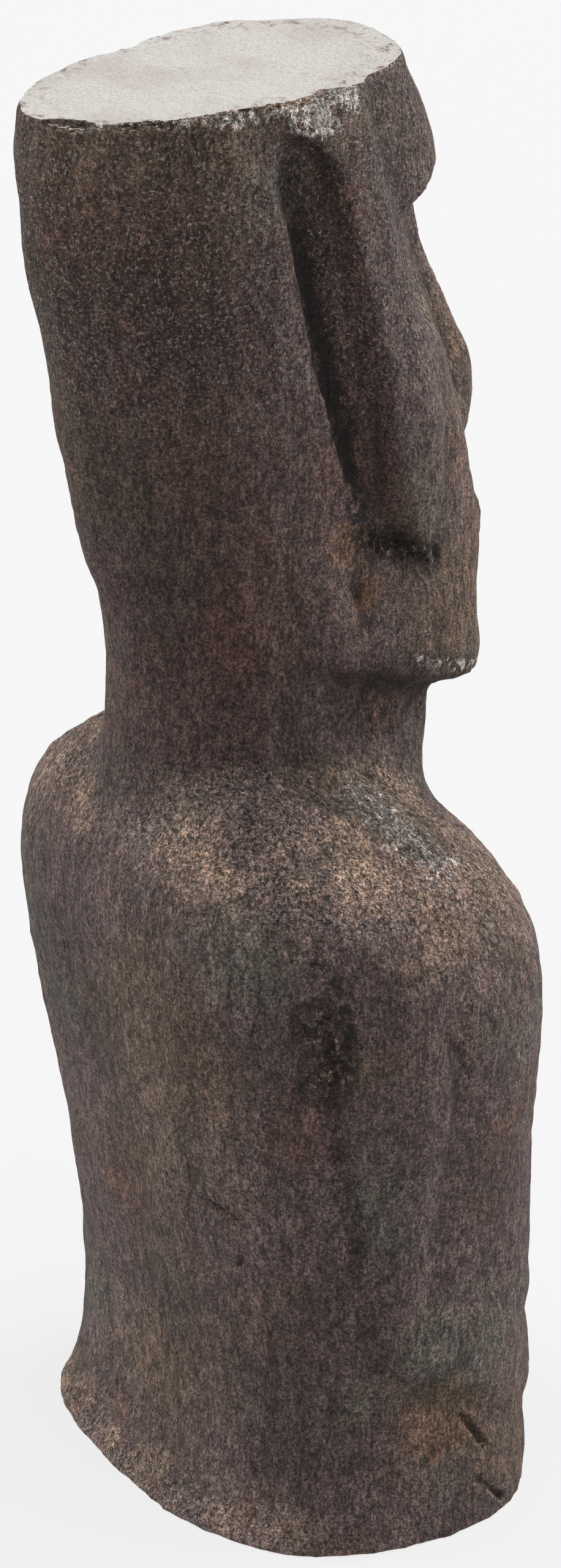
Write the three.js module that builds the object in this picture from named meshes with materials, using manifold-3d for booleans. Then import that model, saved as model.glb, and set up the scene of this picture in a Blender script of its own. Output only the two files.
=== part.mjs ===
// A moai: a standing ancestor figure cut from one block of stone, head and torso, with no plinth.
// Millimetres, +Z up. The figure faces -Y and its right arm is on the -X side.
// The origin is on the ground, under the middle of the figure's outline.
import * as THREE from 'three';
import { mergeVertices } from 'three/addons/utils/BufferGeometryUtils.js';
import Module from 'manifold-3d';

// ---- driving dimensions -------------------------------------------------------------------
const HEIGHT = 800; // ground to crown
const CHIN = 457; // under side of the chin, at the front
const MOUTH = 537; // line between the lips
const NOSE_BASE = 580; // under side of the nose
const BROW = 716; // lower edge of the brow ridge
const EAR_TOP = 797;
const EAR_END = 545;
const SHOULDER = 350; // where the arms part from the shoulders
const ARMPIT = 315; // the hollow behind the top of each arm
const ELBOW = 142; // middle of the elbow
const HAND = 70; // middle of the hands, at the front
const ARM_RISE = 6; // how proud of the body the arms stand
const GROOVE_BEHIND_ARM = 6; // how deep
const GROOVE_BEFORE_ARM = 4;
const EAR_RISE = 12;

const { PI, cos, sin, acos, asin, abs, sign, min, max, pow, sqrt } = Math;
const { lerp, smoothstep, clamp } = THREE.MathUtils;
const vector = (x, y, z) => new THREE.Vector3(x, y, z);

// ---- sections -----------------------------------------------------------------------------

// The value of one key at level z, passing smoothly through the stations' own values.
function through(stations, key, z) {
  const last = stations.length - 1;
  let i = 0;
  while (i < last - 1 && z > stations[i + 1].z) i += 1;
  const slopeAt = (k) => {
    const below = stations[max(k - 1, 0)];
    const above = stations[min(k + 1, last)];
    return (above[key] - below[key]) / (above.z - below.z);
  };
  const span = stations[i + 1].z - stations[i].z;
  const t = clamp((z - stations[i].z) / span, 0, 1);
  const bend = (1 - t) * slopeAt(i) - t * slopeAt(i + 1);
  return lerp(stations[i][key], stations[i + 1][key], t * t * (3 - 2 * t)) + t * (1 - t) * span * bend;
}

const KEYS = ['half', 'front', 'back', 'squareFront', 'squareBack', 'middle', 'tip'];
const sectionAt = (stations, z) => Object.fromEntries(KEYS.map((key) => [key, through(stations, key, z)]));

// A point of the section at level z. Angle 0 is the front, and angles run towards +X.
// Each section is a rounded oblong, half wide to each side, that reaches front and back from its
// middle. A tipped section rises towards the back by tip for each millimetre.
function pointOn(stations, angle, z, proud = 0) {
  const { half, front, back, squareFront, squareBack, middle, tip } = sectionAt(stations, z);
  const [reach, square] = cos(angle) > 0 ? [front, squareFront] : [back, squareBack];
  const x = half * sign(sin(angle)) * pow(abs(sin(angle)), 2 / square);
  const y = -reach * sign(cos(angle)) * pow(abs(cos(angle)), 2 / square);
  const facing = vector(
    sign(x) * pow(abs(x / half), square - 1) / half,
    sign(y) * pow(abs(y / reach), square - 1) / reach,
    0,
  ).normalize();
  const at = vector(x, y + middle, z + tip * y).addScaledVector(facing, proud);
  return { at, facing };
}

// The spot on the skin beside the mass that has that y and z, on the side of +X or of -X.
function beside(stations, side, y, z) {
  let level = z;
  let angle = 0;
  for (let i = 0; i < 4; i += 1) {
    const { front, back, squareFront, squareBack, middle, tip } = sectionAt(stations, level);
    const [reach, square] = y < middle ? [front, squareFront] : [back, squareBack];
    const turn = acos(pow(min(abs(y - middle) / reach, 1), square / 2));
    angle = y < middle ? turn : PI - turn;
    level = z - tip * (y - middle);
  }
  return pointOn(stations, side * angle, level);
}

// The spot on the skin before the mass that has that x and z.
function before(stations, x, z) {
  let level = z;
  let spot;
  for (let i = 0; i < 5; i += 1) {
    const { half, squareFront } = sectionAt(stations, level);
    spot = pointOn(stations, sign(x) * asin(pow(min(abs(x) / half, 1), squareFront / 2)), level);
    level += z - spot.at.z;
  }
  return spot;
}

// A closed skin over rings of points. Every ring has as many points and runs the same way round, and
// each four-sided patch is split along its shorter diagonal.
function skin(rings) {
  const columns = rings[0].length;
  const points = rings.flat();
  const faces = [];
  for (let i = 0; i < rings.length - 1; i += 1) {
    for (let j = 0; j < columns; j += 1) {
      const next = (j + 1) % columns;
      const [a, b, c, d] = [j, next, next + columns, j + columns].map((k) => k + i * columns);
      const rising = points[a].distanceTo(points[c]) < points[b].distanceTo(points[d]);
      faces.push(...(rising ? [a, b, c, a, c, d] : [a, b, d, b, c, d]));
    }
  }
  for (const [first, turned] of [[0, true], [(rings.length - 1) * columns, false]]) {
    const middle = vector(0, 0, 0);
    for (let j = 0; j < columns; j += 1) middle.addScaledVector(points[first + j], 1 / columns);
    const centre = points.push(middle) - 1;
    for (let j = 0; j < columns; j += 1) {
      const edge = [first + j, first + ((j + 1) % columns)];
      faces.push(...(turned ? edge.reverse() : edge), centre);
    }
  }
  return new THREE.BufferGeometry().setFromPoints(points).setIndex(faces);
}

// Levels from stretch to stretch, evenly spaced inside each: levels(bottom, [top, steps], ...).
function levels(bottom, ...stretches) {
  const list = [bottom];
  for (const [top, steps] of stretches) {
    const from = list.at(-1);
    for (let i = 1; i <= steps; i += 1) list.push(lerp(from, top, i / steps));
  }
  return list;
}

// A mass of stone: a skin over the sections, with crowding (0 to 0.5) drawing columns to the front.
function mass(stations, heights, columns, crowding, swell = () => 0) {
  return skin(heights.map((z) => Array.from({ length: columns }, (_, j) => {
    const turn = (2 * PI * j) / columns;
    const angle = turn - crowding * sin(turn);
    return pointOn(stations, angle, z, swell(angle, z)).at;
  })));
}

// A strip along a path on a mass. path(t) gives a spot for t from 0 to 1, half(t) the half width and
// rise(t) the height. RIDGE is a bead with its root sunk in the stone. GROOVE is a cutter for a rounded
// groove, rise(t) deep. VALLEY is a cutter that is steep on the left of the path and gentle on the right.
const RIDGE = [[-1, -0.6], [-0.95, 0.3], [-0.5, 0.9], [0.5, 0.9], [0.95, 0.3], [1, -0.6]];
const GROOVE = [[-0.4, -1], [-1, -0.2], [-1, 1], [1, 1], [1, -0.2], [0.4, -1]];
const VALLEY = [[0.4, -0.9], [-0.3, -0.4], [-1, -0.05], [-1, 1], [1, 1], [1, -0.5], [0.75, -1]];
const turnedRound = (shape) => shape.map(([a, b]) => [-a, b]).reverse();

function strip(shape, steps, path, half, rise) {
  const rings = [];
  for (let i = 0; i <= steps; i += 1) {
    const t = (1 - cos((PI * i) / steps)) / 2;
    const { at, facing } = path(t);
    const ahead = path(min(t + 0.01, 1)).at.sub(path(max(t - 0.01, 0)).at).normalize();
    const across = ahead.cross(facing).normalize();
    rings.push(shape.map(([a, b]) => at.clone()
      .addScaledVector(across, a * half(t))
      .addScaledVector(facing, b * rise(t))));
  }
  return skin(rings);
}

// How wide a strip is near its rounded ends, where head and tail are the shares they take.
const rounded = (t, head, tail) => {
  const over = max((head - t) / head, (t - 1 + tail) / tail, 0);
  return sqrt(max(1 - over * over, 0.06));
};

// A rounded boss with those radii.
function boss(x, y, z, across, deep, tall) {
  const columns = 10;
  const rings = [];
  for (let i = 1; i < 6; i += 1) {
    const rise = (PI * i) / 6;
    rings.push(Array.from({ length: columns }, (_, j) => vector(
      x + across * sin(rise) * sin((2 * PI * j) / columns),
      y - deep * sin(rise) * cos((2 * PI * j) / columns),
      z - tall * cos(rise),
    )));
  }
  return skin(rings);
}

// ---- the torso ----------------------------------------------------------------------------
const torsoStations = [
  { z: 0, half: 153, front: 108, back: 112, middle: 0, tip: 0, squareBack: 2.55 },
  { z: 22, half: 150, front: 110, back: 97, middle: 0, tip: 0 },
  { z: 70, half: 145, front: 110, back: 93, middle: 0, tip: 0 },
  { z: 120, half: 147, front: 115, back: 96, middle: 0, tip: 0 },
  { z: 205, half: 152, front: 111, back: 110, middle: 0, tip: 0.02 },
  { z: 290, half: 164, front: 110, back: 123, middle: 0, tip: 0.06 },
  { z: 335, half: 164, front: 108, back: 126, middle: 2, tip: 0.12 },
  { z: 375, half: 147, front: 96, back: 115, middle: 4, tip: 0.18 },
  { z: 400, half: 113, front: 75, back: 92, middle: 6, tip: 0.22 },
  { z: 418, half: 80, front: 59, back: 79, middle: 8, tip: 0.25 },
  { z: 428, half: 50, front: 42, back: 55, middle: 10, tip: 0.27 },
].map((station) => ({ squareFront: 2.5, squareBack: 2.5, ...station }));

const torso = mass(torsoStations, levels(0, [30, 2], [300, 10], [380, 5], [428, 4]), 42, 0);

// Each arm hangs down the side, then turns at the elbow and runs forward to the belly.
const armMiddle = (z) => lerp(20, 40, smoothstep(z, 220, SHOULDER));
const armHalf = (z) => lerp(18, 34, smoothstep(z, ELBOW + 20, SHOULDER - 40));
const armAlong = (t) => lerp(SHOULDER, ELBOW, t);

// The arm grows out of the shoulder, so its strip starts under the skin.
function upperArm(side) {
  const path = (t) => {
    const z = armAlong(t);
    const { at, facing } = beside(torsoStations, side, armMiddle(z), z);
    return { at: at.addScaledVector(facing, -8 * (1 - smoothstep(t, 0, 0.4))), facing };
  };
  return strip(RIDGE, 8, path, (t) => armHalf(armAlong(t)), () => ARM_RISE);
}
function armGroove(side, edge, deep) {
  const path = (t) => {
    const z = armAlong(t);
    return beside(torsoStations, side, armMiddle(z) + edge * (armHalf(z) + 3), z);
  };
  return strip(GROOVE, 8, path, (t) => 4 * rounded(t, 0.3, 0.2), (t) => deep * rounded(t, 0.5, 0.3));
}
const armpit = (side) => boss(side * 155, 78, ARMPIT, 18, 23, 33);

const forearmPath = (side, rise) => (t) => {
  const angle = side * lerp(1.78, 0.1, t);
  return pointOn(torsoStations, angle, lerp(ELBOW, HAND, smoothstep(t, -0.1, 0.62)) + rise * (1 - 0.3 * t));
};
function forearm(side) {
  return strip(RIDGE, 14, forearmPath(side, 0), (t) => lerp(27, 21, t) * rounded(t, 0.1, 0.04), () => 5);
}
function fingerGap(side, rise) {
  const whole = forearmPath(side, rise);
  return strip(GROOVE, 4, (t) => whole(lerp(0.74, 1.02, t)), (t) => 2 * rounded(t, 0.4, 0.1), () => 6);
}

// ---- the head and neck --------------------------------------------------------------------
// The head leans back, and its sections dip to the front, more so towards the jaw.
const headStations = [
  { z: 372, half: 86, front: 76, back: 107, middle: 10, tip: 0.2 },
  { z: 398, half: 74, front: 76, back: 98, middle: 12, tip: 0.25 },
  { z: CHIN - 20, half: 69, front: 84, back: 90, middle: 13, tip: 0.29 },
  { z: CHIN + 18, half: 69, front: 85, back: 95, middle: 13, tip: 0.33 },
  { z: CHIN + 28, half: 71, front: 109, back: 103, middle: 8, tip: 0.33 },
  { z: 515, half: 71, front: 109, back: 112, middle: 8, tip: 0.27 },
  { z: MOUTH + 19, half: 71, front: 112, back: 114, middle: 11, tip: 0.15 },
  { z: NOSE_BASE + 30, half: 71, front: 108, back: 114, middle: 20, tip: 0.04 },
  { z: 660, half: 71, front: 101, back: 113, middle: 28, tip: 0 },
  { z: BROW - 10, half: 71, front: 98, back: 113, middle: 38, tip: -0.02 },
  { z: BROW, half: 71, front: 101, back: 113, middle: 39, tip: -0.02 },
  { z: BROW + 12, half: 71, front: 121, back: 112, middle: 41, tip: -0.03 },
  { z: 770, half: 70, front: 112, back: 108, middle: 47, tip: -0.05 },
  { z: HEIGHT - 10, half: 68, front: 106, back: 104, middle: 50, tip: -0.06, squareBack: 1.85 },
  { z: HEIGHT - 4, half: 66, front: 103, back: 102, middle: 50, tip: -0.07, squareBack: 1.8 },
].map((station) => ({ squareFront: 2.6, squareBack: 2, ...station }));

const hump = (t) => (abs(t) < 1 ? (1 - t * t) ** 2 : 0);
const band = (t, from, to, edge) => smoothstep(t, from - edge, from) * (1 - smoothstep(t, to, to + edge));

// Eye hollows under the brow, a hollow below the lips, and one under the jaw that fades to the back.
function faceSwell(angle, z) {
  const turn = acos(cos(angle));
  const eye = band(z, 670, BROW - 2, 25) * hump((turn - 0.5) / 0.4);
  const underLip = hump((z - MOUTH + 4) / 16) * hump(turn / 0.5);
  const besideThroat = smoothstep(cos(turn), -0.4, 0.3) * smoothstep(turn, 0.4, 0.9);
  const underJaw = band(z, CHIN - 15, CHIN + 18, 35) * (1 - smoothstep(z, CHIN + 18, CHIN + 28));
  return -12 * eye - 5 * underLip - 8 * underJaw * besideThroat;
}

const headLevels = levels(372, [398, 2], [CHIN + 18, 3], [CHIN + 28, 2], [570, 6], [640, 3], [BROW - 10, 5],
  [BROW + 12, 3], [HEIGHT - 10, 3], [HEIGHT - 4, 1]);
const head = mass(headStations, headLevels, 46, 0.3, faceSwell);

// The nose is long and widens to the nostrils. Its root is in the head.
const nose = mass([
  { z: NOSE_BASE - 2, half: 22, front: 36 },
  { z: NOSE_BASE + 6, half: 25, front: 48 },
  { z: NOSE_BASE + 22, half: 25, front: 50 },
  { z: NOSE_BASE + 45, half: 19, front: 46 },
  { z: 660, half: 15, front: 29 },
  { z: 700, half: 11, front: 14 },
  { z: BROW + 14, half: 14, front: 15 },
].map((station) => ({ ...station, back: 24, squareFront: 2.2, squareBack: 3, middle: -60, tip: 0 })),
levels(NOSE_BASE - 2, [NOSE_BASE + 6, 1], [NOSE_BASE + 45, 3], [BROW + 14, 5]), 18, 0.2);
const nostril = (side) => boss(side * 18, -84, NOSE_BASE + 11, 11, 15, 12);

// A lip runs across the mouth and turns down at the corners.
function lip(rise) {
  const path = (t) => {
    const x = lerp(-36, 36, t);
    return before(headStations, x, MOUTH + rise * (1 - 0.5 * abs(x / 36)) - 5 * (x / 36) ** 2);
  };
  return strip(RIDGE, 8, path, (t) => 7 * rounded(t, 0.4, 0.4), (t) => 6 * rounded(t, 0.5, 0.5));
}

// ---- the ears -----------------------------------------------------------------------------
// An ear is a long band that starts flush with the crown and runs down the side of the head and forward,
// to a rounded lobe. A valley, steep at its back and gentle to the front, parts it from the head behind.
const earAlong = (t) => lerp(EAR_TOP, EAR_END, t);
const valleyBack = (z) => 45 - 0.22 * (745 - z);
const earBack = (z) => valleyBack(z) - lerp(18, 6, smoothstep(z, 735, 765));
const earFront = (z) => lerp(-57, -10, smoothstep(z, 590, EAR_TOP));

function ear(side) {
  const half = (t) => (earBack(earAlong(t)) - earFront(earAlong(t))) / 2;
  const path = (t) => beside(headStations, side, earFront(earAlong(t)) + half(t), earAlong(t));
  const roundedBelow = (t) => half(t) * rounded(lerp(0.1, 1, t), 0.1, 0.13);
  return strip(RIDGE, 12, path, roundedBelow, (t) => lerp(7, EAR_RISE, smoothstep(t, 0, 0.25)));
}
function valley(side) {
  const wide = 15;
  const path = (t) => {
    const z = lerp(780, 568, t);
    return beside(headStations, side, valleyBack(z) - wide, z);
  };
  const shape = side < 0 ? VALLEY : turnedRound(VALLEY);
  return strip(shape, 10, path, (t) => wide * rounded(t, 0.2, 0.35), (t) => 13 * rounded(t, 0.35, 0.4));
}
const underLobe = (side) => boss(side * 76, -17, EAR_END + 4, 11, 12, 10);

// The short groove where the jaw ends, under the ear.
function jawGroove(side) {
  const path = (t) => beside(headStations, side, lerp(4, -6, t), lerp(540, 500, t));
  return strip(GROOVE, 4, path, () => 4, (t) => 5 * rounded(t, 0.3, 0.3));
}

// ---- joining ------------------------------------------------------------------------------
const wasm = await Module();
wasm.setup();

function solid(geometry) {
  const closed = mergeVertices(geometry, 1e-4);
  return new wasm.Manifold(new wasm.Mesh({
    numProp: 3,
    vertProperties: closed.attributes.position.array,
    triVerts: new Uint32Array(closed.index.array),
  }));
}

function geometryOf(manifold) {
  const { vertProperties, triVerts } = manifold.getMesh();
  return new THREE.BufferGeometry()
    .setAttribute('position', new THREE.BufferAttribute(vertProperties, 3))
    .setIndex(new THREE.BufferAttribute(triVerts, 1));
}

const sides = [-1, 1];
const raised = [torso, head, nose, lip(8), lip(-8)].concat(
  sides.flatMap((side) => [nostril(side), ear(side), upperArm(side), forearm(side)]),
);
const cut = sides.flatMap((side) => [
  valley(side), underLobe(side), jawGroove(side), armpit(side),
  armGroove(side, 1, GROOVE_BEHIND_ARM), armGroove(side, -1, GROOVE_BEFORE_ARM),
  fingerGap(side, -11), fingerGap(side, 0), fingerGap(side, 11),
]);
const join = (list) => list.map(solid).reduce((whole, piece) => whole.add(piece));
const carved = join(raised).subtract(join(cut));

const stone = new THREE.MeshStandardMaterial({ color: 0x4a403c, roughness: 0.85, metalness: 0 });
const moai = new THREE.Mesh(geometryOf(carved), stone);
moai.name = 'moai_figure';

const group = new THREE.Group();
group.add(moai);
export default group;
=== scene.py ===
# %% [markdown]
# # A moai cut from one stone
# The real figure is a single block of dark volcanic stone: a long head with a flat crown, hanging ears,
# a neck, round shoulders, and arms that run down the sides to hands on the belly. The solid from the
# CAD model has all of these forms, but its faces are large and flat. Here a copy of it is given the
# skin of worked stone, and then the stone's colours, its dust and its light.

# %% Load the frame
import math

import bpy
import numpy as np
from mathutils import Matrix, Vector, noise


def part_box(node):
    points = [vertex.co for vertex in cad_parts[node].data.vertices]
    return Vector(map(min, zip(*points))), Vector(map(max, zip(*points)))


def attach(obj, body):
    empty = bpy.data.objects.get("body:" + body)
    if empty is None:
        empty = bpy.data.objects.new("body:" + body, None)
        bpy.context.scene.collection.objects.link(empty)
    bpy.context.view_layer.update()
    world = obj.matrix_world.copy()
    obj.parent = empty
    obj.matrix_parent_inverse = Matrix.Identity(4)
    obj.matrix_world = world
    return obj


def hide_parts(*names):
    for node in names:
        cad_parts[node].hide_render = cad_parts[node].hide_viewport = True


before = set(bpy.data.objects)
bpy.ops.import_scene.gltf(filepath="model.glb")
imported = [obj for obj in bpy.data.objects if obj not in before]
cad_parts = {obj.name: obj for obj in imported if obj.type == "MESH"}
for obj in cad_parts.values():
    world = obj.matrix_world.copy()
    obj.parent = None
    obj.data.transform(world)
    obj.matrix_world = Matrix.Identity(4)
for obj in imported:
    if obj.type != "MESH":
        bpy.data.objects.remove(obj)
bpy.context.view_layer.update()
FIGURE = "moai_figure"
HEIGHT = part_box(FIGURE)[1].z  # of its highest corner
print("figure", round(HEIGHT, 4), "m tall")


# %% [markdown]
# ## Working on one object at a time
# An operator in Blender acts on whatever is selected, and the frame arrives with its solids selected.
# So each step begins by selecting only the object that it is about to change. Modifiers are applied as
# soon as they are set, because each one here is a single pass of work on the stone, like one round with
# a chisel, and the next pass has to start from its result.

# %% Helpers for selecting and for applying modifiers
def pick(piece):
    """Selects only this piece and makes it active."""
    if bpy.context.object and bpy.context.object.mode != "OBJECT":
        bpy.ops.object.mode_set(mode="OBJECT")
    bpy.ops.object.select_all(action="DESELECT")
    piece.select_set(True)
    bpy.context.view_layer.objects.active = piece


def work(piece, kind, **settings):
    """Adds one modifier with these settings and applies it."""
    pick(piece)
    modifier = piece.modifiers.new(kind.lower(), kind)
    for name, value in settings.items():
        setattr(modifier, name, value)
    bpy.ops.object.modifier_apply(modifier=modifier.name)


def triangles(piece):
    return sum(len(face.vertices) - 2 for face in piece.data.polygons)


# %% [markdown]
# ## The block
# The CAD solid is made of loose triangles, so its copy has its doubles merged first. A voxel remesh then
# turns long thin triangles into an even net of small squares, which is what the later passes need: they
# can only move points that exist. Subdividing would keep the thin triangles and their creases. Voxels of
# 3.5 mm hold the grooves beside the ears, and leave triangles to spare for finer marks. Smoothing rounds
# every edge, so the block is first lengthened below, and its foot is cut to a crisp edge later.

# %% Copy the solid and remesh it
VOXEL = 0.0035
SPARE = 0.012  # stone left below the foot, to be sawn off once the sides are done
DOUBLES = 0.00002  # points closer than this are one point
ON_GROUND = 0.0005  # the middle of a face of the underside is lower than this
FACING_DOWN = -0.99  # and its normal points down at least this much

cad_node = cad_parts[FIGURE]
stone = cad_node.copy()
stone.data = cad_node.data.copy()
stone.name = "moai_stone"
stone.parent = None
stone.modifiers.clear()
bpy.context.scene.collection.objects.link(stone)
stone.hide_render = False
stone.hide_set(False)

pick(stone)
bpy.ops.object.mode_set(mode="EDIT")
bpy.ops.mesh.select_all(action="SELECT")
bpy.ops.mesh.remove_doubles(threshold=DOUBLES)
bpy.ops.mesh.select_all(action="DESELECT")
bpy.ops.object.mode_set(mode="OBJECT")
low_faces = [face for face in stone.data.polygons if face.center.z < ON_GROUND]
underside = [face for face in low_faces if face.normal.z < FACING_DOWN]
for face in underside:
    face.select = True
bpy.ops.object.mode_set(mode="EDIT")
bpy.ops.mesh.extrude_region_move(TRANSFORM_OT_translate={"value": (0.0, 0.0, -SPARE)})
bpy.ops.object.mode_set(mode="OBJECT")
print("lengthened under", len(underside), "faces")
work(stone, "REMESH", mode="VOXEL", voxel_size=VOXEL)
print("remeshed to", triangles(stone), "triangles")

# %% [markdown]
# ## Softening
# A mason's wire brush and years of weather take the edge off every cut. A smooth pass does the same to
# the net, and it also takes out the steps that voxels leave on slopes.

# %% Smooth the net
NET_ROUNDS = 5

work(stone, "SMOOTH", factor=0.5, iterations=NET_ROUNDS)


def places_of(items):
    """The coordinates of vertices, or the middles of faces, as rows of an array."""
    field = "co" if hasattr(items[0], "co") else "center"
    flat = np.empty(len(items) * 3)
    items.foreach_get(field, flat)
    return flat.reshape(-1, 3)


def weigh(piece, name, weights):
    """Stores a weight for each point in a vertex group, and gives how many are above nothing."""
    group = piece.vertex_groups.new(name=name)
    for i in np.nonzero(weights)[0]:
        group.add([int(i)], float(weights[i]), "REPLACE")
    return int(np.count_nonzero(weights))


# %% [markdown]
# ## Where the neck meets the shoulders
# The solid's neck stands in its shoulders with a sharp corner. On the carved stone one flows into the
# other, because a mason can't cut a sharp inner corner with a round tool. A vertex group holds the points
# within a few centimetres of the joint, and many rounds of smoothing there fill the corner.

# %% Fill the corner at the root of the neck
ROOT_HEIGHT = 0.408  # of the joint, at the middle of the figure
ROOT_RISE = 0.25  # metres up for each metre back
ROOT_REACH = 0.042
ROOT_ROUNDS = 70

points = places_of(stone.data.vertices)
above_root = np.abs(points[:, 2] - ROOT_HEIGHT - ROOT_RISE * points[:, 1])
joined = weigh(stone, "root", np.clip(1.0 - (above_root / ROOT_REACH) ** 2, 0.0, 1.0))
work(stone, "SMOOTH", factor=0.5, iterations=ROOT_ROUNDS, vertex_group="root")
print("neck root smoothed over", joined, "points")

# %% [markdown]
# ## Worn grooves
# The lines before and behind each arm are worn nearly flat on the old stone, and so are the top end of
# the valley behind each ear and the ear's own back edge. They are smoothed in the same way, by their
# distance from a line that follows each of them on both sides.

# %% Wear the grooves down
MILLIMETRE = 0.001
BEHIND_ARM = [(-143, 72, 326), (-144, 64, 292), (-144, 56, 250), (-143, 44, 212), (-139, 42, 160)]
BEFORE_ARM = [(-157, -6, 330), (-152, -8, 280), (-150, -6, 220), (-145, 2, 160)]
VALLEY_TOP = [(-70, 42, 778), (-64, 38, 756), (-59, 33, 722)]
EAR_BACK = [(-69, 10, 722), (-71, 4, 695), (-75, -2, 669), (-77, -9, 636)]


def distance(points, start, end):
    """How far each point is from the line between start and end, which are in millimetres."""
    start, end = np.array(start) * MILLIMETRE, np.array(end) * MILLIMETRE
    along = end - start
    share = np.clip((points - start) @ along / (along @ along), 0.0, 1.0)
    return np.linalg.norm(points - start - share[:, None] * along, axis=1)


def nearness(points, lines):
    """From 1 on a line to 0 at its reach, for lines on the right side and their mirror images."""
    folded = np.column_stack((-np.abs(points[:, 0]), points[:, 1:]))
    near = np.zeros(len(points))
    for line, reach, strength in lines:
        for start, end in zip(line, line[1:]):
            fade = np.clip(1.0 - distance(folded, start, end) / (reach * MILLIMETRE), 0.0, 1.0)
            near = np.maximum(near, strength * fade)
    return near


def soft(share):
    """Flattens a fade at both its ends."""
    return share * share * (3.0 - 2.0 * share)


GROOVE_ROUNDS = 22
WORN = [(BEHIND_ARM, 20, 1.0), (BEFORE_ARM, 18, 1.0), (VALLEY_TOP, 22, 0.9), (EAR_BACK, 24, 0.8)]
grooves = nearness(places_of(stone.data.vertices), WORN)
worn_down = weigh(stone, "grooves", soft(grooves))
work(stone, "SMOOTH", factor=0.5, iterations=GROOVE_ROUNDS, vertex_group="grooves")
print("grooves worn over", worn_down, "points")

# %% [markdown]
# ## Hand work in the surface
# No carved side is quite flat. Three passes of the Displace modifier push the skin in and out along its
# normals: broad lumps left by the block itself, shallow hollows left by the chisel, and narrow upright
# strokes left by the brush. The strokes come from the same kind of noise, read through an empty that is
# stretched upwards, so that each fleck becomes a long mark.

# %% Lumps, hollows and strokes
def noise_field(name, size, depth=2):
    field = bpy.data.textures.new(name, "CLOUDS")
    field.noise_scale = size
    field.noise_depth = depth
    return field


def push(piece, field, strength, stretch=None, level=0.5):
    """Displaces the skin by a noise field, stretched along a direction if one is given."""
    if stretch is None:
        work(piece, "DISPLACE", texture=field, texture_coords="LOCAL", strength=strength, mid_level=level)
        return
    guide = bpy.data.objects.new("guide", None)
    guide.scale = stretch
    bpy.context.scene.collection.objects.link(guide)
    bpy.context.view_layer.update()
    work(
        piece,
        "DISPLACE",
        texture=field,
        texture_coords="OBJECT",
        texture_coords_object=guide,
        strength=strength,
        mid_level=level,
    )
    bpy.data.objects.remove(guide)


push(stone, noise_field("lumps", size=0.09), strength=0.005, level=0.62)
push(stone, noise_field("hollows", size=0.024, depth=3), strength=0.0026)
push(stone, noise_field("strokes", size=0.008), strength=0.002, stretch=(1.0, 1.0, 5.0))
print("lumps, hollows and strokes done")

# %% [markdown]
# ## Cracks, chips and pits
# Old stone is marked where it was knocked. Each mark here is a short line with a reach and a depth. The
# net is cut finer near the marks, so that narrow ones can show, then every point near a line is pressed
# in, most at the line itself. The reach wavers with noise, which keeps a mark from looking like a groove
# made by a tool. Places are in millimetres, and a mark is only on the side that it is given for.
#
# The gaps between the fingers are cut again in the same way on both hands, because remeshing and
# smoothing closed them. Each is laid on the skin in three short stretches, so that it follows the hand.

# %% Press the marks in: each has a start, an end, a reach and a depth
MARKS = [
    ((-83, 99, 202), (-91, 95, 199), 2.2, 3.0),  # crack in the back
    ((-91, 95, 199), (-99, 91, 195), 2.6, 3.0),
    ((-137, 38, 156), (-148, 26, 154), 2.5, 3.0),
    ((-143, -24, 67), (-142, -40, 45), 4.0, 4.0),  # cuts below the hand
    ((-144, -34, 25), (-140, -52, 7), 4.0, 4.0),
    ((2, 112, 417), (6, 112, 414), 3.0, 2.5),  # pits
    ((-145, 70, 358), (-146, 66, 357), 2.5, 2.5),
    ((-98, 87, 172), (-97, 87, 168), 2.5, 2.0),
    ((-18, 148, 790), (-30, 138, 790), 9.0, 6.0),  # chips in the rim of the crown
    ((-46, 122, 791), (-56, 106, 792), 8.0, 5.0),
    ((-64, 76, 797), (-72, 50, 798), 10.0, 5.0),
    ((-82, 38, 800), (-84, 22, 801), 9.0, 5.0),
    ((40, -54, 803), (28, -58, 803), 8.0, 6.0),
    ((-8, -57, 803), (-16, -57, 803), 7.0, 5.0),
    ((68, 58, 795), (66, 74, 794), 8.0, 6.0),
    ((120, 98, 330), (126, 95, 326), 3.0, 2.5),  # knocks on the back and the left side
    ((62, 103, 260), (66, 102, 252), 2.5, 2.0),
    ((148, -10, 250), (149, -14, 246), 3.0, 2.5),
    ((70, 90, 640), (71, 84, 636), 3.0, 2.0),
    ((-60, -114, 180), (-66, -113, 176), 3.0, 2.5),  # knocks on the front
    ((52, -112, 270), (55, -112, 262), 2.5, 2.0),
]

FINGER_GAPS = (62, 70, 78)  # their heights
HAND = [(84, -102), (64, -108), (42, -111), (22, -110)]  # across and forward, from the wrist to the tips
GAP_REACH = 3.0
GAP_DEPTH = 4.5
WAVER = 0.5  # the share by which a mark's reach may change
WAVER_FINENESS = 260.0
MARK_MARGIN = 0.002  # metres round a mark where the net is cut finer too


def on_skin(piece, place):
    """The point of the skin that is nearest to a place, both in millimetres."""
    nearest = piece.closest_point_on_mesh(Vector(place) * MILLIMETRE)[1]
    return tuple(nearest / MILLIMETRE)


for hand in (-1, 1):
    for level in FINGER_GAPS:
        stops = [on_skin(stone, (hand * across, forward, level)) for across, forward in HAND]
        MARKS += [(start, end, GAP_REACH, GAP_DEPTH) for start, end in zip(stops, stops[1:])]


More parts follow.
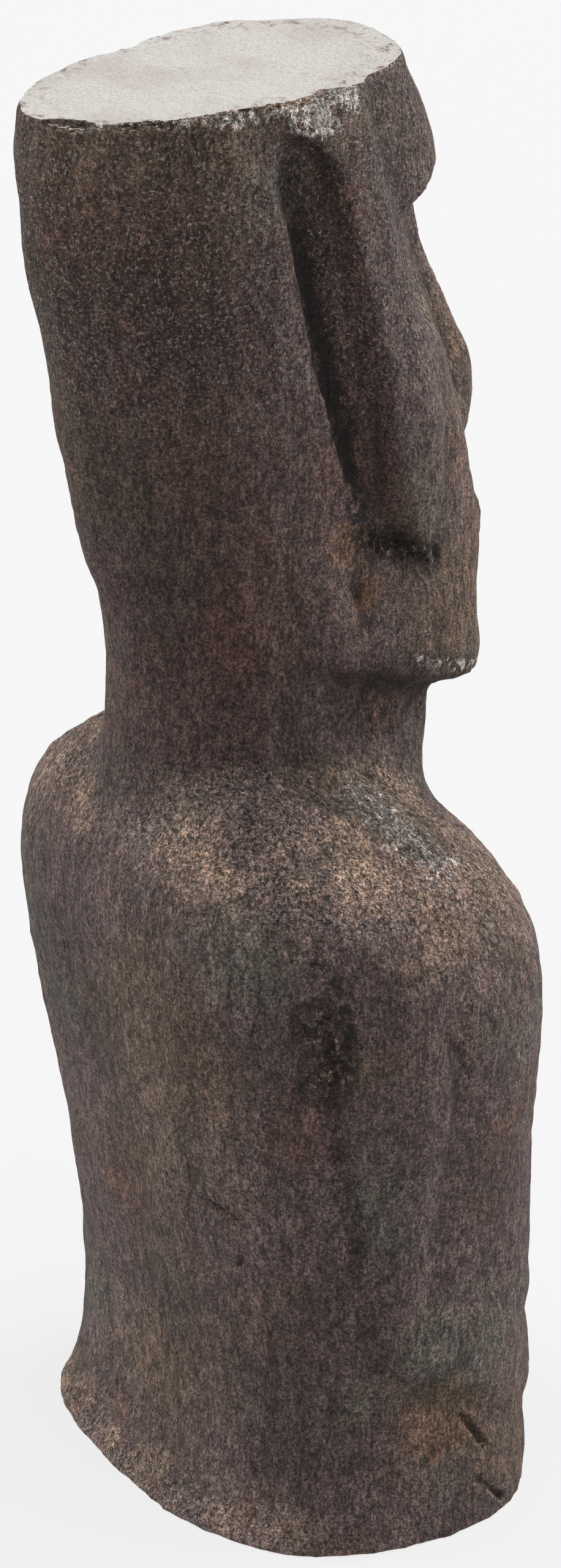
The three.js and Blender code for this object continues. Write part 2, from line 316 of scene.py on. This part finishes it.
def refine(piece, marks, margin):
    """Cuts the faces near the marks into smaller ones."""
    middles = places_of(piece.data.polygons)
    near = np.zeros(len(middles), dtype=bool)
    for start, end, reach, _ in marks:
        near |= distance(middles, start, end) < reach * MILLIMETRE + margin
    pick(piece)
    bpy.context.tool_settings.mesh_select_mode = (False, False, True)
    bpy.ops.object.mode_set(mode="EDIT")
    bpy.ops.mesh.select_all(action="DESELECT")
    bpy.ops.object.mode_set(mode="OBJECT")
    piece.data.polygons.foreach_set("select", near)
    bpy.ops.object.mode_set(mode="EDIT")
    bpy.ops.mesh.subdivide(number_cuts=1)
    bpy.ops.mesh.quads_convert_to_tris()
    bpy.ops.object.mode_set(mode="OBJECT")
    return int(near.sum())


def press(piece, marks):
    """Presses the skin in along the marks, by a vertex group that holds how deep each point goes."""
    points = places_of(piece.data.vertices)
    deepest = max(depth for *_, depth in marks)
    share = np.zeros(len(points))
    for start, end, reach, depth in marks:
        away = distance(points, start, end)
        for i in np.nonzero(away < (1.0 + WAVER) * reach * MILLIMETRE)[0]:
            waver = 1.0 + WAVER * noise.noise(Vector(points[i]) * WAVER_FINENESS)
            fade = max(1.0 - away[i] / (reach * MILLIMETRE * waver), 0.0)
            share[i] = max(share[i], depth / deepest * soft(fade))
    pressed = weigh(piece, "marks", share)
    work(piece, "DISPLACE", strength=-deepest * MILLIMETRE, mid_level=0.0, vertex_group="marks")
    return pressed


print("refined", refine(stone, MARKS, MARK_MARGIN), "faces, then", refine(stone, MARKS, 0.0), "again")
print("pressed", press(stone, MARKS), "points,", triangles(stone), "triangles")

# %% [markdown]
# ## Broken stone
# In the armpits, below the ears, under the jaw and on the tops of the shoulders the skin is broken into
# small lumps and holes. A line is too neat for that, so one vertex group holds all of these places with
# soft edges, and strong fine noise pushes the skin in and out there.

# %% Break the skin in four kinds of place
ARMPIT = [(-146, 66, 326), (-149, 62, 306), (-145, 62, 290)]
BELOW_LOBE = [(-70, -8, 552), (-68, -22, 546), (-66, -46, 534)]
JAW_EDGE = [(-68, -40, 477), (-60, -66, 468), (-44, -88, 460)]
SHOULDER_TOP = [(-70, 30, 422), (-84, -8, 412), (-105, -18, 399)]
FINER = 0.7  # the share of each place's reach where the net is cut finer
BROKEN = [(ARMPIT, 24, 0.9), (BELOW_LOBE, 15, 0.9), (JAW_EDGE, 8, 0.5), (SHOULDER_TOP, 28, 0.5)]

for line, reach, _ in BROKEN:
    spans = [(start, end, FINER * reach, 0.0) for start, end in zip(line, line[1:])]
    print("refined", refine(stone, spans, 0.0), "faces, then", refine(stone, spans, 0.0), "again")
broken = nearness(places_of(stone.data.vertices), BROKEN)
weigh(stone, "broken", soft(broken))
work(
    stone,
    "DISPLACE",
    texture=noise_field("breaks", size=0.008, depth=4),
    texture_coords="LOCAL",
    strength=0.013,
    mid_level=0.55,
    vertex_group="broken",
)
print("broken over", int(np.count_nonzero(broken)), "points,", triangles(stone), "triangles")

# %% [markdown]
# ## The sawn faces
# The crown and the underside are plain cuts, straight and crisp where everything round them is worn. The
# passes above have softened them too, so both are cut again: bisect slices the net along a plane, throws
# away what is outside and fills the hole with one flat face. The crown falls a little to the back.

# %% Cut the crown and the underside
CROWN_FALL = 0.068  # metres down for each metre back
CROWN_MIDDLE = Vector((0.0, 0.05, 0.7932))
GROUND = 0.0008


def saw(piece, point, normal):
    pick(piece)
    bpy.ops.object.mode_set(mode="EDIT")
    bpy.ops.mesh.select_all(action="SELECT")
    bpy.ops.mesh.bisect(plane_co=point, plane_no=normal, clear_outer=True, use_fill=True)
    bpy.ops.object.mode_set(mode="OBJECT")


crown_normal = Vector((0.0, CROWN_FALL, 1.0)).normalized()
saw(stone, CROWN_MIDDLE, crown_normal)
saw(stone, Vector((0.0, 0.0, GROUND)), Vector((0.0, 0.0, -1.0)))
print("sawn to", triangles(stone), "triangles")

# %% [markdown]
# ## How hollow each point is
# Blender's dirt tool works out from the net how hollow each point is, and stores it as a colour on
# each point. The material reads it later to paint shade into the deepest hollows.

# %% Store how hollow each point is as a colour attribute
pick(stone)
stone.data.color_attributes.new("worn", "FLOAT_COLOR", "POINT")
stone.data.color_attributes.active_color = stone.data.color_attributes["worn"]
bpy.ops.paint.vertex_color_dirt(
    blur_strength=1.0, blur_iterations=2, clean_angle=math.radians(115), dirt_angle=math.radians(60)
)
print("wear stored on", len(stone.data.vertices), "points")

# %% [markdown]
# ## Deep shade
# A few places are given painted shade: the valley behind each ear, the root of the jaw, the armpits,
# the line behind each arm, the edges of the hands, the gaps between the fingers and the broken stone
# below the lobes. Each is a line with a reach and a strength, given for the right side and mirrored to
# the left, and together they are stored as a number on each point.
#
# The same way serves for pale places: fresh stone bared by knocks along the jaw's edge, on the knob at
# the top of the ear, round the rim of the crown and here and there in the broken stone, and a painted
# highlight on the ridge of the shoulder.

# %% Store the painted shade, the bare places and the shoulder's painted highlight
VALLEY_FOOT = [(-60, 34, 730), (-59, 27, 694), (-60, 15, 655), (-62, 4, 592), (-66, 0, 560)]
ARMPIT_EDGE = [(-152, 62, 350), (-157, 57, 334), (-157, 56, 318), (-153, 58, 300), (-140, 59, 279)]
HAND_EDGE = [
    (-96, -97, 50),
    (-40, -108, 49),
    (-22, -107, 57),
    (-20, -107, 84),
    (-40, -108, 91),
    (-96, -97, 93),
]
GAP_SHADE = (3.5, 0.9)  # reach and strength
JAW_ROOT = [(-60, 30, 462), (-58, -46, 448), (-30, -66, 440), (0, -70, 438)]
# painted shade along these lines, each with its reach and strength
PAINTED_SHADE = [
    (VALLEY_FOOT, 14, 0.95),
    (VALLEY_TOP, 11, 0.5),
    (ARMPIT, 20, 0.42),
    (ARMPIT_EDGE, 12, 0.7),
    (BEHIND_ARM, 12, 0.4),
    (BELOW_LOBE, 14, 0.8),
    (JAW_ROOT, 26, 0.55),
    (HAND_EDGE, 7, 0.75),
]
for level in FINGER_GAPS:
    PAINTED_SHADE.append(([(-across, forward, level) for across, forward in HAND], *GAP_SHADE))
SHOULDER_RIDGE = [(-84, 2, 414), (-101, -8, 403), (-118, -19, 390)]
EAR_KNOB = [(-72, 8, 797), (-76, 20, 793), (-76, 28, 784)]
RIM_CHIP = [(-64, 74, 789), (-70, 54, 791), (-74, 38, 792)]
CROWN_RIM = [(-29, 140, 786), (-57, 97, 790), (-67, 62, 791), (-73, 40, 795), (-70, 8, 799), (-40, -44, 802)]
# pale places: fresh stone bared by knocks, and a painted highlight on the shoulder's ridge
BARE_AND_HIGHLIGHT = [
    (SHOULDER_RIDGE, 32, 1.0),
    (EAR_KNOB, 20, 1.2),
    (RIM_CHIP, 9, 1.3),
    (JAW_EDGE, 6, 0.9),
    (CROWN_RIM, 6, 0.85),
    (ARMPIT, 20, 0.38),
    (BELOW_LOBE, 16, 0.5),
]


def store(piece, name, numbers):
    piece.data.attributes.new(name, "FLOAT", "POINT").data.foreach_set("value", numbers)


points = places_of(stone.data.vertices)
painted_shade, bare_and_highlight = nearness(points, PAINTED_SHADE), nearness(points, BARE_AND_HIGHLIGHT)
store(stone, "painted_shade", painted_shade)
store(stone, "bare_and_highlight", bare_and_highlight)
print("grime on", int(np.count_nonzero(painted_shade)), "points, bare on", int(np.count_nonzero(bare_and_highlight)))

# %% [markdown]
# ## Smooth sides, flat cuts
# The sides are shaded smooth, except across edges sharper than 50 degrees. The two sawn faces are shaded
# flat, because smooth shading would blend their rims with the sides and tint the whole face.

# %% Shading
FLAT_SIZE = 0.002  # square metres; only the two cuts are larger
SHARP = math.radians(50)

pick(stone)
bpy.ops.object.shade_smooth_by_angle(angle=SHARP)
bpy.ops.object.mode_set(mode="EDIT")
bpy.ops.mesh.select_all(action="DESELECT")
bpy.ops.object.mode_set(mode="OBJECT")
cuts = [face for face in stone.data.polygons if face.area > FLAT_SIZE]
for face in cuts:
    face.select = True
bpy.ops.object.mode_set(mode="EDIT")
bpy.ops.mesh.faces_shade_flat()
bpy.ops.object.mode_set(mode="OBJECT")
print("flat faces", len(cuts))

# %% [markdown]
# ## Masks for the stone
# The stone's colour has patches, flecks and upright streaks. Each is noise at some size and stretch,
# made into a mask. A rust stain is a mask too: a round spot with a ragged edge. One node group makes
# each kind, so that every layer only states its own values.

# %% The mask groups
def node(tree, kind, **settings):
    made = tree.nodes.new(kind)
    for name, value in settings.items():
        setattr(made, name, value)
    return made


def group(name, inputs):
    """A node group with these named inputs and one output, called Mask."""
    tree = bpy.data.node_groups.new(name, "ShaderNodeTree")
    for title, value in inputs.items():
        kind = "NodeSocketVector" if isinstance(value, tuple) else "NodeSocketFloat"
        tree.interface.new_socket(title, in_out="INPUT", socket_type=kind).default_value = value
    tree.interface.new_socket("Mask", in_out="OUTPUT", socket_type="NodeSocketFloat")
    return tree, node(tree, "NodeGroupInput").outputs, node(tree, "NodeGroupOutput").inputs["Mask"]


def noise_mask():
    """Noise at a size and stretch, spread between two levels."""
    tree, inside, mask = group("stone_noise", {
        "Place": (0.0, 0.0, 0.0),
        "Stretch": (1.0, 1.0, 1.0),
        "Shift": (0.0, 0.0, 0.0),
        "Scale": 10.0,
        "Detail": 2.0,
        "Coarseness": 0.5,
        "From": 0.4,
        "To": 0.6,
    })
    stretch = node(tree, "ShaderNodeVectorMath", operation="MULTIPLY_ADD")
    texture = node(tree, "ShaderNodeTexNoise")
    levels = node(tree, "ShaderNodeMapRange", interpolation_type="SMOOTHSTEP")
    tree.links.new(inside["Place"], stretch.inputs[0])
    tree.links.new(inside["Stretch"], stretch.inputs[1])
    tree.links.new(inside["Shift"], stretch.inputs[2])
    tree.links.new(stretch.outputs[0], texture.inputs["Vector"])
    tree.links.new(inside["Scale"], texture.inputs["Scale"])
    tree.links.new(inside["Detail"], texture.inputs["Detail"])
    tree.links.new(inside["Coarseness"], texture.inputs["Roughness"])
    tree.links.new(texture.outputs["Fac"], levels.inputs["Value"])
    tree.links.new(inside["From"], levels.inputs["From Min"])
    tree.links.new(inside["To"], levels.inputs["From Max"])
    tree.links.new(levels.outputs["Result"], mask)
    return tree


def spot_mask():
    """A spot round a centre, full inside the reach and gone at twice it, with a ragged edge."""
    tree, inside, mask = group("stone_spot", {
        "Place": (0.0, 0.0, 0.0),
        "Centre": (0.0, 0.0, 0.0),
        "Reach": 0.02,
        "Ragged": 0.02,
    })
    away = node(tree, "ShaderNodeVectorMath", operation="DISTANCE")
    edge = node(tree, "ShaderNodeTexNoise")
    edge.inputs["Scale"].default_value = 130.0
    edge.inputs["Detail"].default_value = 4.0
    edge.inputs["Roughness"].default_value = 0.7
    centred = node(tree, "ShaderNodeMath", operation="SUBTRACT")
    centred.inputs[1].default_value = 0.5
    rough = node(tree, "ShaderNodeMath", operation="MULTIPLY_ADD")
    twice = node(tree, "ShaderNodeMath", operation="MULTIPLY")
    twice.inputs[1].default_value = 2.0
    levels = node(tree, "ShaderNodeMapRange", interpolation_type="SMOOTHSTEP")
    levels.inputs["To Min"].default_value = 1.0
    levels.inputs["To Max"].default_value = 0.0
    tree.links.new(inside["Place"], away.inputs[0])
    tree.links.new(inside["Centre"], away.inputs[1])
    tree.links.new(inside["Place"], edge.inputs["Vector"])
    tree.links.new(edge.outputs["Fac"], centred.inputs[0])
    tree.links.new(centred.outputs[0], rough.inputs[0])
    tree.links.new(inside["Ragged"], rough.inputs[1])
    tree.links.new(away.outputs["Value"], rough.inputs[2])
    tree.links.new(inside["Reach"], twice.inputs[0])
    tree.links.new(rough.outputs[0], levels.inputs["Value"])
    tree.links.new(inside["Reach"], levels.inputs["From Min"])
    tree.links.new(twice.outputs[0], levels.inputs["From Max"])
    tree.links.new(levels.outputs["Result"], mask)
    return tree


stone_noise = noise_mask()
stone_spot = spot_mask()
print("mask groups have", len(stone_noise.nodes), "and", len(stone_spot.nodes), "nodes")


# %% [markdown]
# ## The stone's colours
# The ground colour is a warm dark grey. Over it lie browner patches, rust where iron in the stone has
# weathered, and a little olive where lichen has been. Painted shade darkens the faces of the head that
# point back. Then come the grain of the stone, from broad mottling down to single crystals, and the
# upright marks of the brush. Painted glints fleck the upper head and the faces that point up. Upward
# faces carry dust and are painted up to twice as bright, and fresh stone shows where knocks bared it,
# with a painted highlight on the shoulder's ridge. Painted shade darkens the deepest hollows, a few
# given places and the faces that point down, and the sawn crown is pale.

# %% The stone material
CROWN_HALF = 0.068  # the crown's reach to each side
CROWN_LENGTH = 0.104  # and to its front and back
RUST_SPOTS = [  # centre, reach and raggedness, in metres
    ((-0.071, 0.004, 0.552), 0.009, 0.04),
    ((-0.070, -0.006, 0.522), 0.007, 0.04),
    ((-0.143, -0.012, 0.07), 0.016, 0.07),
]


def stone_material():
    material = bpy.data.materials.new("weathered_stone")
    material.use_nodes = True
    tree = material.node_tree
    tree.nodes.clear()
    output = node(tree, "ShaderNodeOutputMaterial")
    shader = node(tree, "ShaderNodeBsdfPrincipled")
    tree.links.new(shader.outputs["BSDF"], output.inputs["Surface"])
    shader.inputs["Specular IOR Level"].default_value = 0.3
    place = node(tree, "ShaderNodeTexCoord").outputs["Object"]

    def mask(scale, low, high, stretch=(1.0, 1.0, 1.0), detail=2.0, coarse=0.5, shift=0.0):
        """Noise at this scale, from 0 at its low level to 1 at its high one."""
        layer = node(tree, "ShaderNodeGroup", node_tree=stone_noise)
        tree.links.new(place, layer.inputs["Place"])
        layer.inputs["Stretch"].default_value = stretch
        layer.inputs["Shift"].default_value = (shift, shift * 0.7, -shift)
        layer.inputs["Scale"].default_value = scale
        layer.inputs["Detail"].default_value = detail
        layer.inputs["Coarseness"].default_value = coarse
        layer.inputs["From"].default_value = low
        layer.inputs["To"].default_value = high
        return layer.outputs["Mask"]

    def spot(centre, reach, ragged):
        layer = node(tree, "ShaderNodeGroup", node_tree=stone_spot)
        tree.links.new(place, layer.inputs["Place"])
        layer.inputs["Centre"].default_value = centre
        layer.inputs["Reach"].default_value = reach
        layer.inputs["Ragged"].default_value = ragged
        return layer.outputs["Mask"]

    def combine(operation, *values):
        """The result of one Math node on these values."""
        made = node(tree, "ShaderNodeMath", operation=operation)
        for entry, value in zip(made.inputs, values):
            if isinstance(value, float):
                entry.default_value = value
            else:
                tree.links.new(value, entry)
        return made.outputs[0]

    def times(*values):
        return combine("MULTIPLY", *values)

    def spread(value, low, high, to_low=0.0, to_high=1.0):
        """Turns the range from low to high into another one, with soft ends."""
        made = node(tree, "ShaderNodeMapRange", interpolation_type="SMOOTHSTEP")
        tree.links.new(value, made.inputs["Value"])
        made.inputs["From Min"].default_value = low
        made.inputs["From Max"].default_value = high
        made.inputs["To Min"].default_value = to_low
        made.inputs["To Max"].default_value = to_high
        return made.outputs["Result"]

    def over(below, colour, amount):
        """Lays a colour over the one below it by some amount."""
        mix = node(tree, "ShaderNodeMix", data_type="RGBA")
        tree.links.new(amount, mix.inputs["Factor"])
        for value, name in ((below, "A"), (colour, "B")):
            entry = next(s for s in mix.inputs if s.name == name and s.type == "RGBA")
            if isinstance(value, tuple):
                entry.default_value = (*value, 1.0)
            else:
                tree.links.new(value, entry)
        return next(s for s in mix.outputs if s.type == "RGBA")

    def tinted(colour, by):
        """A colour multiplied by another one."""
        made = node(tree, "ShaderNodeVectorMath", operation="MULTIPLY")
        tree.links.new(colour, made.inputs[0])
        tree.links.new(by, made.inputs[1])
        return made.outputs[0]

    def shaded(colour, factor):
        """A colour made darker or lighter by a factor."""
        made = node(tree, "ShaderNodeVectorMath", operation="SCALE")
        tree.links.new(colour, made.inputs[0])
        tree.links.new(factor, made.inputs["Scale"])
        return made.outputs[0]

    # where the surface faces, how high it is, how hollow, and where shade and highlights are painted
    facing = node(tree, "ShaderNodeSeparateXYZ")
    tree.links.new(node(tree, "ShaderNodeNewGeometry").outputs["Normal"], facing.inputs[0])
    height = node(tree, "ShaderNodeSeparateXYZ")
    tree.links.new(place, height.inputs[0])
    worn = node(tree, "ShaderNodeVertexColor", layer_name="worn").outputs["Color"]
    painted_shade = node(tree, "ShaderNodeAttribute", attribute_name="painted_shade").outputs["Fac"]
    bare_and_highlight = node(tree, "ShaderNodeAttribute", attribute_name="bare_and_highlight").outputs["Fac"]
    head = spread(height.outputs["Z"], 0.50 * HEIGHT, 0.56 * HEIGHT)
    upper_head = spread(height.outputs["Z"], 0.68 * HEIGHT, 0.86 * HEIGHT)
    under_crown = spread(height.outputs["Z"], 0.91 * HEIGHT, 0.97 * HEIGHT)
    upward = spread(facing.outputs["Z"], 0.12, 0.7)
    downward = spread(facing.outputs["Z"], -0.2, -0.8)
    backward = spread(facing.outputs["Y"], -0.1, 0.4)

    # broad colours: warm dark grey with brown, olive and red patches, then painted shade on the faces of the
    # head that point back, rust, and tan below the crown
    ground = over((0.078, 0.0515, 0.0475), (0.120, 0.082, 0.076), mask(9.0, 0.36, 0.64, detail=3.0))
    brown = over(ground, (0.130, 0.083, 0.052), times(mask(8.0, 0.48, 0.66, detail=3.0, shift=3.1), 0.65))
    olive = over(brown, (0.090, 0.086, 0.068), times(mask(9.0, 0.52, 0.68, detail=3.0, shift=7.7), 0.6))
    red = over(olive, (0.138, 0.070, 0.052), times(mask(12.0, 0.56, 0.72, detail=3.0, shift=11.3), 0.6))
    # painted shade: the head's faces that point back are darker, most of all on the upper head
    head_back_shade = over((1.0, 1.0, 1.0), (0.78, 0.675, 0.655), times(head, backward))
    upper_back_shade = over(head_back_shade, (0.58, 0.49, 0.46), times(upper_head, backward))
    shaded_head = tinted(red, upper_back_shade)
    rust, *more_rust = [spot(centre, reach, ragged) for centre, reach, ragged in RUST_SPOTS]
    for stain in more_rust:
        rust = combine("MAXIMUM", rust, stain)
    rusted = over(shaded_head, (0.150, 0.080, 0.045), times(rust, 0.6))
    tan = times(under_crown, mask(30.0, 0.4, 0.65, detail=4.0, shift=9.2))
    tanned = over(rusted, (0.108, 0.072, 0.048), times(tan, 0.8))

    # dust on what faces up, painted light making upward faces up to twice as bright, fresh stone
    # where the skin is bare, and a painted highlight on the shoulder's ridge
    ochre = times(upward, mask(15.0, 0.4, 0.6, detail=6.0, coarse=0.7, shift=2.0))
    dusty = over(tanned, (0.225, 0.152, 0.105), times(ochre, 0.8))
    chips_and_glints = times(mask(190.0, 0.35, 0.65, detail=5.0, coarse=0.75, shift=3.3), 0.9)
    fresh_and_highlight = spread(combine("ADD", bare_and_highlight, chips_and_glints), 1.02, 1.3)
    # painted light: faces that point up are made up to twice as bright
    lit_from_above = shaded(dusty, spread(upward, 0.0, 1.0, 1.0, 2.0))
    # pale fresh stone where knocks bared it, and a painted highlight on the shoulder's ridge
    bared_and_highlit = over(lit_from_above, (0.56, 0.51, 0.47), times(fresh_and_highlight, 0.85))

    # grain, brush marks, painted glints, pits, and painted shade in hollows, at given places and below
    streak = mask(24.0, 0.32, 0.68, stretch=(1.0, 1.0, 0.14), detail=4.0, coarse=0.6, shift=12.0)
    mottle = mask(170.0, 0.36, 0.64, stretch=(1.0, 1.0, 0.6), detail=5.0, coarse=0.9)
    crystals = mask(560.0, 0.4, 0.6, detail=3.0, coarse=0.9, shift=5.7)
    hatch = mask(560.0, 0.3, 0.7, stretch=(1.0, 1.0, 0.2), detail=1.0)
    streaked = shaded(bared_and_highlit, spread(streak, 0.0, 1.0, 0.78, 1.08))
    mottled = shaded(streaked, spread(mottle, 0.0, 1.0, 0.58, 1.42))
    grained = shaded(mottled, spread(crystals, 0.0, 1.0, 0.45, 1.55))
    hatched = shaded(grained, spread(hatch, 0.0, 1.0, 0.78, 1.22))
    cracks = mask(420.0, 0.47, 0.57, stretch=(1.0, 1.0, 0.6), detail=4.0, coarse=0.85, shift=6.6)
    crackle = times(upward, cracks)
    crackled = shaded(hatched, spread(crackle, 0.0, 1.0, 1.12, 0.3))
    # painted glints: pale specks, most on the upper head and on faces that point up
    glint_specks = mask(520.0, 0.52, 0.68, detail=3.0, coarse=0.85, shift=1.3)
    glint_amount = spread(combine("MAXIMUM", times(upper_head, 0.8), upward), 0.0, 1.0, 0.12, 0.85)
    glinted = over(crackled, (0.36, 0.32, 0.29), times(glint_specks, glint_amount))
    pits = mask(420.0, 0.6, 0.72, detail=2.0, stretch=(1.0, 1.0, 0.5), shift=4.4)
    pitted = over(glinted, (0.012, 0.009, 0.009), times(pits, 0.75))
    # painted shade in the deepest hollows
    hollows_shaded = over(pitted, (0.014, 0.010, 0.009), times(spread(worn, 0.06, 0.01), 0.5))
    # painted shade at the given places, with ragged edges
    ragged = times(mask(170.0, 0.3, 0.7, detail=4.0, coarse=0.8, shift=8.8), 0.8)
    shaded_places = spread(combine("ADD", painted_shade, ragged), 0.65, 1.2)
    shady = over(hollows_shaded, (0.012, 0.009, 0.009), times(shaded_places, 0.9))
    # painted shade: faces that point down are darkened, down to 0.55 times
    under_shaded = shaded(shady, spread(downward, 0.0, 1.0, 1.0, 0.55))

    # the sawn crown, browner and speckled towards its edge
    flat = spread(facing.outputs["Z"], 0.97, 0.99)
    high = spread(height.outputs["Z"], HEIGHT - 0.03, HEIGHT - 0.025)
    centred = node(tree, "ShaderNodeVectorMath", operation="SUBTRACT")
    tree.links.new(place, centred.inputs[0])
    centred.inputs[1].default_value = CROWN_MIDDLE
    squared = node(tree, "ShaderNodeVectorMath", operation="MULTIPLY")
    tree.links.new(centred.outputs[0], squared.inputs[0])
    squared.inputs[1].default_value = (1.0 / CROWN_HALF, 1.0 / CROWN_LENGTH, 0.0)
    outward = node(tree, "ShaderNodeVectorMath", operation="LENGTH")
    tree.links.new(squared.outputs[0], outward.inputs[0])
    near_edge = spread(outward.outputs["Value"], 0.72, 1.0)
    sawn = over((0.53, 0.503, 0.480), (0.46, 0.425, 0.396), mask(26.0, 0.4, 0.7, detail=6.0, shift=5.0))
    grains = mask(600.0, 0.46, 0.66, detail=3.0, coarse=0.8, shift=6.0)
    sawn_grain = over(sawn, (0.27, 0.235, 0.21), times(grains, 0.55))
    stains = mask(150.0, 0.5, 0.68, detail=4.0, coarse=0.7, shift=1.9)
    stained = over(sawn_grain, (0.16, 0.115, 0.09), times(near_edge, stains))
    crown = times(flat, high)
    colour = over(under_shaded, stained, crown)
    tree.links.new(colour, shader.inputs["Base Color"])
    tree.links.new(spread(glint_specks, 0.0, 1.0, 0.85, 0.6), shader.inputs["Roughness"])

    def bump(height_mask, depth, strength, below=None):
        made = node(tree, "ShaderNodeBump")
        made.inputs["Strength"].default_value = strength
        made.inputs["Distance"].default_value = depth
        tree.links.new(height_mask, made.inputs["Height"])
        if below is not None:
            tree.links.new(below, made.inputs["Normal"])
        return made.outputs["Normal"]

    rougher = times(spread(upward, 0.0, 1.0, 0.7, 1.0), spread(crown, 0.0, 1.0, 1.0, 0.3))
    chisel = mask(170.0, 0.2, 0.8, detail=4.0, coarse=0.65, stretch=(1.0, 1.0, 0.5))
    grit = mask(620.0, 0.25, 0.75, detail=2.0, coarse=0.8)
    tooled = bump(times(chisel, rougher), 0.003, 0.9)
    textured = bump(times(grit, rougher), 0.0016, 0.9, tooled)
    tree.links.new(textured, shader.inputs["Normal"])
    return material


stone.data.materials.clear()
stone.data.materials.append(stone_material())
print("material has", len(stone.data.materials[0].node_tree.nodes), "nodes")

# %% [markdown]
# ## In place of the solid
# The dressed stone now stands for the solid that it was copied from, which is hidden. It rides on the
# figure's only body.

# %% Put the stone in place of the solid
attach(stone, "root")
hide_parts(FIGURE)
print(stone.name, "stands for", FIGURE)

# %% [markdown]
# ## Floor and light
# The figure stands on a plain pale floor in a white room, which lights it evenly from all sides. Two
# broad soft lights come from its front and from behind its left, and a third from above, so the ears and
# the shoulders have form and the shadows stay faint. They are sun lamps, because a sun's light is the same
# everywhere and leaves the floor even. Where the room itself is seen, its wall is as pale as the floor,
# and brighter than the light it gives, so that a low view shows no dark band above the floor.

# %% Floor, lights and room
FLOOR_SIZE = 30.0
FLOOR_GLOW = 0.76
ROOM_LIGHT = 0.42
WALL_PALENESS = 0.94

bpy.ops.object.select_all(action="DESELECT")
bpy.ops.mesh.primitive_plane_add(size=FLOOR_SIZE, location=(0.0, 0.0, 0.0))
floor = bpy.context.object
floor.name = "floor"
pale = bpy.data.materials.new("pale_floor")
pale.use_nodes = True
surface = pale.node_tree.nodes["Principled BSDF"].inputs
surface["Base Color"].default_value = (0.1, 0.1, 0.1, 1.0)
surface["Roughness"].default_value = 0.9
surface["Specular IOR Level"].default_value = 0.1
surface["Emission Color"].default_value = (1.0, 1.0, 1.0, 1.0)
surface["Emission Strength"].default_value = FLOOR_GLOW
floor.data.materials.append(pale)


def soft_light(name, comes_from, strength, spread_degrees):
    lamp = bpy.data.lights.new(name, "SUN")
    lamp.energy = strength
    lamp.angle = math.radians(spread_degrees)
    holder = bpy.data.objects.new(name, lamp)
    holder.rotation_euler = Vector(comes_from).to_track_quat("Z", "Y").to_euler()
    bpy.context.scene.collection.objects.link(holder)


soft_light("front_light", (-0.1, -1.0, 0.45), strength=2.3, spread_degrees=40.0)
soft_light("back_light", (0.9, 0.7, 0.45), strength=2.2, spread_degrees=40.0)
soft_light("top_light", (-0.3, -0.1, 1.0), strength=1.9, spread_degrees=60.0)
room = bpy.data.worlds.new("room")
room.use_nodes = True
lighting = room.node_tree.nodes["Background"]
lighting.inputs["Color"].default_value = (1.0, 1.0, 1.0, 1.0)
lighting.inputs["Strength"].default_value = ROOM_LIGHT
wall = node(room.node_tree, "ShaderNodeBackground")
wall.inputs["Color"].default_value = (1.0, 1.0, 1.0, 1.0)
wall.inputs["Strength"].default_value = WALL_PALENESS
seen = node(room.node_tree, "ShaderNodeLightPath").outputs["Is Camera Ray"]
either = node(room.node_tree, "ShaderNodeMixShader")
room.node_tree.links.new(seen, either.inputs[0])
room.node_tree.links.new(lighting.outputs[0], either.inputs[1])
room.node_tree.links.new(wall.outputs[0], either.inputs[2])
room.node_tree.links.new(either.outputs[0], room.node_tree.nodes["World Output"].inputs["Surface"])
bpy.context.scene.world = room
bpy.context.scene.view_settings.view_transform = "Standard"

# %% [markdown]
# ## Camera
# The figure is seen from behind its right side, from a standing person's height, with a long lens.

# %% Camera
SIDE = 240.0  # where the camera stands, round from the front
AZIMUTH = 240.11  # how far it is turned
DISTANCE = 2.865
EYE_HEIGHT = 1.621
LOOK_DOWN = 23.234
LENS = 133.3

camera_data = bpy.data.cameras.new("camera")
camera_data.lens = LENS
camera_data.sensor_width = 36.0
camera_data.clip_end = 50.0
camera = bpy.data.objects.new("camera", camera_data)
side = math.radians(SIDE)
camera.location = (math.sin(side) * DISTANCE, -math.cos(side) * DISTANCE, EYE_HEIGHT)
camera.rotation_euler = (math.radians(90.0 - LOOK_DOWN), 0.0, math.radians(AZIMUTH))
bpy.context.scene.collection.objects.link(camera)
bpy.context.scene.camera = camera
print("camera at", [round(number, 3) for number in camera.location])
